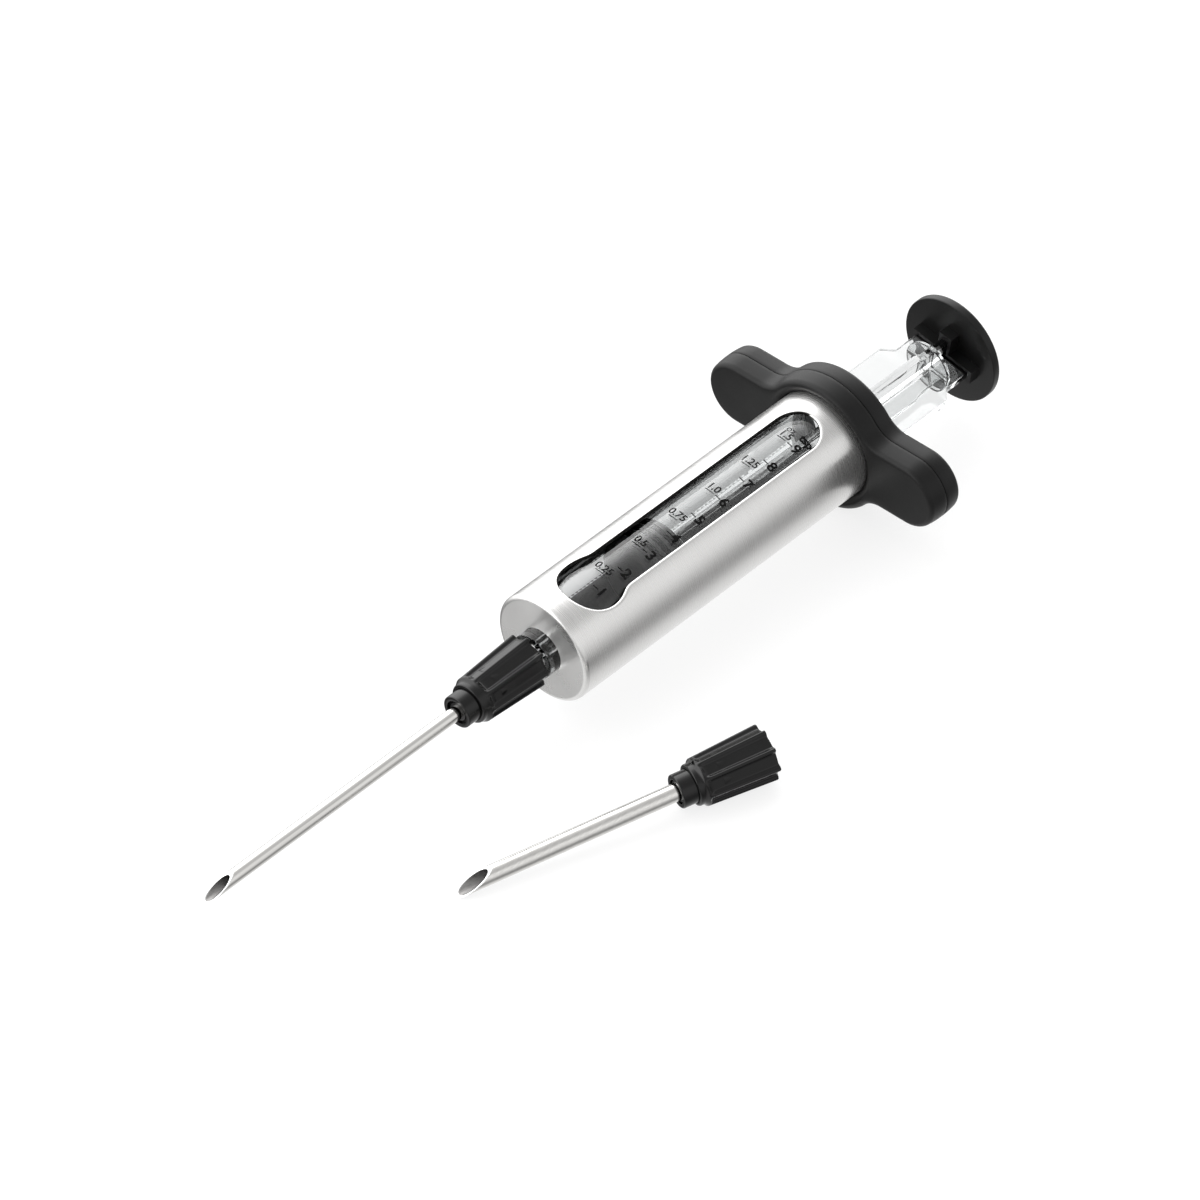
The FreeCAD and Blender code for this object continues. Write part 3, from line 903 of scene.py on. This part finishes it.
def make_plunger():
    stations = [(station, BLADE_WIDE, BLADE_TALL) for station in BLADE_STATIONS]
    stations += [(station, ROD_NECK_WIDE, ROD_NECK_TALL) for station in (ROD_NECK_START, DISC_FRONT)]
    rod_piece("plunger_blades", cross_loft(stations, BLADE_T), bevel=0.25)
    for name, front, back, radius in (("plunger_front_plate", PISTON_BACK, PLATE_BACK, PLATE_R),
                                      ("plunger_web", WEB_FRONT, WEB_BACK, BLADE_TALL)):
        rod_piece(name, lathe(rounded([(front, 0), (front, radius, 0.3), (back, radius, 0.3), (back, 0)])))
    disc = rounded([(DISC_FRONT, 0), (DISC_FRONT, DISC_R, 0.35), (DISC_BACK, DISC_R, 0.9), (DISC_BACK, 0)])
    piece("thumb_pad", lathe(disc, FINE_TURNS), UNIT, "plunger", DISC_BLACK, ("thumb_disc",))
    dress("disc_socket", DISC_BLACK)
    head = [(PISTON_NOSE, 0), (PISTON_NOSE, NOSE_R, 0.8), (PISTON_FRONT, SHOULDER_R, 0.3),
            (FIRST_LAND, PISTON_R, 0.1)]
    for _, station in SEALS:
        head += [(station - GROOVE_HALF, GROOVE_R), (station + GROOVE_HALF, GROOVE_R),
                 (station + 0.86, PISTON_R, 0.1), (station + 2.14, PISTON_R, 0.1)]
    head = head[:-1] + [(PISTON_BACK, PISTON_R, 0.3), (PISTON_BACK, PISTON_SOCKET_R),
                        (PISTON_SOCKET, PISTON_SOCKET_R), (PISTON_SOCKET, 0)]
    piece("piston_body", lathe(rounded(head, 3), FINE_TURNS), UNIT, "plunger", PISTON_BLACK,
          ("piston_head",))
    for name, station in SEALS:
        front, back = station - SEAL_HALF, station + SEAL_HALF
        ring = rounded([(front, SEAL_INNER_R), (front, SEAL_R, 0.6), (back, SEAL_R, 0.6),
                        (back, SEAL_INNER_R)])
        piece("seal_" + name, lathe(ring, FINE_TURNS), UNIT, "plunger", RUBBER,
              ("piston_seal_" + name,))


# ---------------------------------------------------------------- hubs and needles

NUT_BACK = -5.0
RIDGE_END = -25.6
NOSE_START = -26.6
NUT_FRONT = -28.0
NUT_RIDGES = 8
RIDGE_R = 7.9
RIDGE_TAPER = 1.1
RIDGE_CREST = 0.07
RIDGE_FLANK = 0.30
HOLLOW_DEPTH = 1.5
HOLLOW_TAPER = 0.25
RUN_OUT_START = 0.3
RUN_OUT_LENGTH = 1.7
NUT_TURNS = 192
NUT_STEPS = 26
NUT_CHAMFER = 0.45
NUT_BORE_R = 4.87
NUT_SOCKET_R = 5.67
NUT_GROOVE_R = 5.72
NUT_RELIEF_R = 5.85
FLANGE_SEAT = -20.6
SOCKET_END = -17.0
GROOVES = (-16.0, -14.0, -12.0, -10.0, -8.0)
COLLAR_R = 4.8
COLLAR_FRONT = -32.3
COLLAR_FLOOR = -30.7
COLLAR_GROOVE_R = 3.5
BOSS_FRONT = -31.9
CARRIER_FLANGE = (-20.53, -17.9)
CARRIER_FLANGE_R = 5.7
TUBE_BACK = -17.9
TUBE_TURNS = 96
TUBE_STATIONS = (-60, -45, TUBE_BACK)
TUBE_EDGE = 0.16
ON_SURFACE = 0.01


def nut_radius(station, angle):
    """Outside of the nut: rounded ridges with flat hollows between them, run out at the nose."""
    along = (NUT_BACK - station) / (NUT_BACK - RIDGE_END)
    ridge = RIDGE_R - RIDGE_TAPER * along
    period = 2 * math.pi / NUT_RIDGES
    from_ridge = abs((angle / period + 0.5) % 1 - 0.5) * 2
    u = min(max((from_ridge - RIDGE_CREST) / RIDGE_FLANK, 0), 1)
    hollow = u * u * (3 - 2 * u)
    run_out = min(max((station - RIDGE_END - RUN_OUT_START) / RUN_OUT_LENGTH, 0), 1)
    depth = (HOLLOW_DEPTH - HOLLOW_TAPER * along) * (1 - (1 - run_out) ** 2)
    panel = (ridge - depth) / math.cos((1 - from_ridge) * period / 2)
    return ridge - max(ridge - panel, 0) * hollow


def nut_shape():
    """Closed shell of the nut: fluted outside, round nose, bore and grooved socket."""
    angles = [2 * math.pi * k / NUT_TURNS for k in range(NUT_TURNS)]

    def star(station, shrink=0.0):
        return [(station, (nut_radius(station, a) - shrink) * math.sin(a),
                 (nut_radius(station, a) - shrink) * math.cos(a)) for a in angles]

    def circle(station, radius):
        return [(station, radius * math.sin(a), radius * math.cos(a)) for a in angles]

    rings = [star(NUT_BACK, 0.5), star(NUT_BACK - 0.12, 0.18), star(NUT_BACK - NUT_CHAMFER)]
    for k in range(1, NUT_STEPS + 1):
        rings.append(star(NUT_BACK - NUT_CHAMFER + (RIDGE_END - NUT_BACK + NUT_CHAMFER) * k / NUT_STEPS))
    rings += [star(RIDGE_END - 0.25, 0.12), star(RIDGE_END - 0.5, 0.45)]
    rings += [circle(station, radius) for station, radius in (
        (NOSE_START, 5.95), (NOSE_START - 0.15, 5.9), (NUT_FRONT + 0.4, 5.9), (NUT_FRONT + 0.12, 5.78),
        (NUT_FRONT, 5.5), (NUT_FRONT, 4.95), (NUT_FRONT + 0.1, NUT_BORE_R), (FLANGE_SEAT, NUT_BORE_R),
        (FLANGE_SEAT, NUT_RELIEF_R), (SOCKET_END, NUT_RELIEF_R))]
    for station in GROOVES:
        rings += [circle(station - 0.5, NUT_SOCKET_R), circle(station - 0.2, NUT_GROOVE_R),
                  circle(station + 0.2, NUT_GROOVE_R), circle(station + 0.5, NUT_SOCKET_R)]
    rings += [circle(NUT_BACK - 0.3, NUT_SOCKET_R), circle(NUT_BACK, 6.0)]
    return stitch(rings, closed=True)


def carrier_shape(tube_r):
    """Collar that holds a needle: clamped flange, and a groove round the small boss at its front."""
    boss_r = tube_r * 0.6 + 1.55
    front, back = CARRIER_FLANGE
    return lathe(rounded([
        (front, CARRIER_FLANGE_R, 0.3), (back, CARRIER_FLANGE_R, 0.3), (back, tube_r), (BOSS_FRONT, tube_r),
        (BOSS_FRONT, boss_r, 0.15), (COLLAR_FLOOR, boss_r), (COLLAR_FLOOR, COLLAR_GROOVE_R),
        (COLLAR_FRONT, COLLAR_GROOVE_R, 0.12), (COLLAR_FRONT, COLLAR_R, 0.4), (front, COLLAR_R)]))


def tube_shape(tube_r, bore_r, tip, bevel_length):
    """Tube whose point is cut slantwise, opening upwards; rings follow the slant near the point."""
    angles = [2 * math.pi * k / TUBE_TURNS for k in range(TUBE_TURNS)]

    def slanted(radius, shift):
        points = []
        for a in angles:
            z = radius * math.cos(a)
            reach = tip + (z + tube_r) / (2 * tube_r) * bevel_length
            points.append((reach + shift, radius * math.sin(a), z))
        return points

    rings = [slanted(bore_r, 0.9), slanted(bore_r, 0.35), slanted(bore_r + TUBE_EDGE * 0.7, 0.02),
             slanted(tube_r - TUBE_EDGE, 0.0), slanted(tube_r - TUBE_EDGE * 0.3, 0.10),
             slanted(tube_r, 0.35), slanted(tube_r, 0.9)]
    stations = (tip + bevel_length + 2,) + TUBE_STATIONS
    for radius, order in ((tube_r, stations), (bore_r, stations[::-1])):
        for station in order:
            rings.append([(station, radius * math.sin(a), radius * math.cos(a)) for a in angles])
    return stitch(rings, closed=True)


def make_hub(prefix, cad_names, place, needle_body, nut_body, tube_r, bore_r, tip, bevel_length):
    nut, carrier, tube, washer = cad_names
    piece(prefix + "hub_nut", nut_shape(), place, nut_body, GLOSS_BLACK, (nut,), sharp=50)
    piece(prefix + "collar", carrier_shape(tube_r), place, needle_body, GLOSS_BLACK, (carrier,))
    needle = piece(prefix + "needle", tube_shape(tube_r, bore_r, tip, bevel_length), place, needle_body,
                   NEEDLE_STEEL, (tube,), sharp=40)
    dress(washer, RUBBER)
    paint_needle(needle, place, tube_r, bore_r)


def paint_needle(needle, place, tube_r, bore_r):
    """Gives a needle its bright ground rim and its bore with painted shade."""
    mesh = needle.data
    mesh.materials.append(BEVEL_STEEL)
    mesh.materials.append(BORE_SHADE_STEEL)
    back = place.inverted()
    local = [back @ vertex.co for vertex in mesh.vertices]
    for polygon in mesh.polygons:
        radii = [math.hypot(local[i].y, local[i].z) for i in polygon.vertices]
        # Bore faces take the steel with painted shade; faces of the rim near the point take the ground
        # steel.
        if max(radii) < bore_r + ON_SURFACE:
            polygon.material_index = 2
        elif min(radii) < tube_r - ON_SURFACE and local[polygon.vertices[0]].x < TUBE_STATIONS[0]:
            polygon.material_index = 1


def make_needles():
    make_hub("", ("lock_nut", "needle_carrier", "needle_tube", "needle_washer"), STRAIGHT, "needle", "nut",
             tube_r=2.0, bore_r=1.55, tip=-125.7, bevel_length=11.0)
    make_hub("spare_", ("spare_nut", "spare_carrier", "spare_tube", "spare_washer"), SPARE, "spare_needle",
             "spare_nut_body", tube_r=2.5, bore_r=2.05, tip=-98.1, bevel_length=11.0)


# ---------------------------------------------------------------- studio

FLOOR_REACH = 6.0
FLOOR_GLOW = 0.80


def make_floor():
    """White floor that glows enough to lose its edge against the background, and still takes a shadow."""
    mesh = bpy.data.meshes.new("studio_floor")
    low, high = -FLOOR_REACH, FLOOR_REACH
    mesh.from_pydata([(low, low, 0), (high, low, 0), (high, high, 0), (low, high, 0)], [], [(0, 1, 2, 3)])
    material, nodes, links, shader = new_material("studio_floor_white")
    grain = noise(nodes, links, (4, 4, 4))
    links.new(tinted(nodes, links, grain, grey(0.22), grey(0.24)), shader.inputs["Base Color"])
    shader.inputs["Roughness"].default_value = 0.9
    shader.inputs["Specular IOR Level"].default_value = 0.0
    shader.inputs["Emission Color"].default_value = (1, 1, 1, 1)
    shader.inputs["Emission Strength"].default_value = FLOOR_GLOW
    mesh.materials.append(material)
    floor = bpy.data.objects.new("studio_floor", mesh)
    bpy.context.collection.objects.link(floor)
    floor.visible_glossy = False


def make_light(name, place, aim, size, power):
    data = bpy.data.lights.new(name, "AREA")
    data.shape = "RECTANGLE"
    data.size, data.size_y = size
    data.energy = power
    light = bpy.data.objects.new(name, data)
    light.location = place
    light.rotation_mode = "QUATERNION"
    light.rotation_quaternion = (Vector(place) - Vector(aim)).to_track_quat("Z", "Y")
    bpy.context.collection.objects.link(light)


# Brightness of the studio by angle round the x axis, in degrees from +Y over +Z: one broad softbox over
# the +Y side, grey overhead, white level with the -Y side, and a dark band below each side.
STUDIO = [(-180, 0.78), (-168, 0.52), (-158, 0.37), (-150, 0.34), (-142, 0.40), (-132, 0.58),
          (-120, 0.80), (-108, 0.90), (-76, 1.0), (-57, 1.0), (-49, 0.20), (-36, 0.18), (-24, 0.45),
          (-12, 1.20), (2, 2.0), (16, 2.9), (34, 3.4), (52, 3.4), (61, 2.6), (70, 1.7), (81, 1.05),
          (94, 0.72), (118, 0.62), (130, 0.72), (142, 1.0), (160, 1.02), (170, 0.94), (180, 0.78)]


def make_world():
    world = bpy.data.worlds.new("studio")
    world.use_nodes = True
    nodes = world.node_tree.nodes
    links = world.node_tree.links
    direction = nodes.new("ShaderNodeTexCoord")
    parts = nodes.new("ShaderNodeSeparateXYZ")
    links.new(direction.outputs["Generated"], parts.inputs["Vector"])
    angle = nodes.new("ShaderNodeMath")
    angle.operation = "ARCTAN2"
    links.new(parts.outputs["Z"], angle.inputs[0])
    links.new(parts.outputs["Y"], angle.inputs[1])
    turn = nodes.new("ShaderNodeMapRange")
    turn.inputs["From Min"].default_value = -math.pi
    turn.inputs["From Max"].default_value = math.pi
    links.new(angle.outputs["Value"], turn.inputs["Value"])
    ramp = nodes.new("ShaderNodeValToRGB")
    links.new(turn.outputs["Result"], ramp.inputs["Fac"])
    stops = ramp.color_ramp.elements
    for degrees, _ in STUDIO[1:-1]:
        stops.new((degrees + 180) / 360)
    for stop, (degrees, value) in zip(stops, STUDIO):
        stop.position = (degrees + 180) / 360
        stop.color = (value, value, value, 1)
    links.new(ramp.outputs["Color"], nodes["Background"].inputs["Color"])
    nodes["Background"].inputs["Strength"].default_value = 1.0
    bpy.context.scene.world = world


CAMERA_FORWARD = Vector((0.52035, 0.52112, -0.67651))
CAMERA_RIGHT = Vector((0.68808, -0.72505, -0.02927))
CAMERA_FROM_SLEEVE = Vector((-1.07857, -1.10248, 1.43372))
CAMERA_SENSOR = 36
CAMERA_LENS = 239.83
CAMERA_REACH = 50


def make_camera():
    """Long lens from above the needle's side, placed from the middle of the sleeve's front face."""
    data = bpy.data.cameras.new("camera")
    data.sensor_width = CAMERA_SENSOR
    data.lens = CAMERA_LENS
    data.clip_end = CAMERA_REACH
    camera = bpy.data.objects.new("camera", data)
    up = CAMERA_RIGHT.cross(CAMERA_FORWARD)
    turn = Matrix((CAMERA_RIGHT, up, -CAMERA_FORWARD)).transposed()
    place = STRAIGHT.to_translation() + CAMERA_FROM_SLEEVE
    camera.matrix_world = Matrix.Translation(place) @ turn.to_4x4()
    bpy.context.collection.objects.link(camera)
    bpy.context.scene.camera = camera


make_sleeve()
make_barrel()
make_scale()
make_grip()
make_plunger()
make_needles()
for gasket in ("front_gasket", "rear_gasket"):
    dress(gasket, RUBBER)
dress("grip_slip_ring", PALE)
make_floor()
make_world()
make_light("key_softbox", place=(0.3, 1.2, 1.2), aim=(0, 0, 0), size=(1.6, 1.0), power=1.5)
make_camera()
bpy.context.scene.view_settings.view_transform = "Standard"
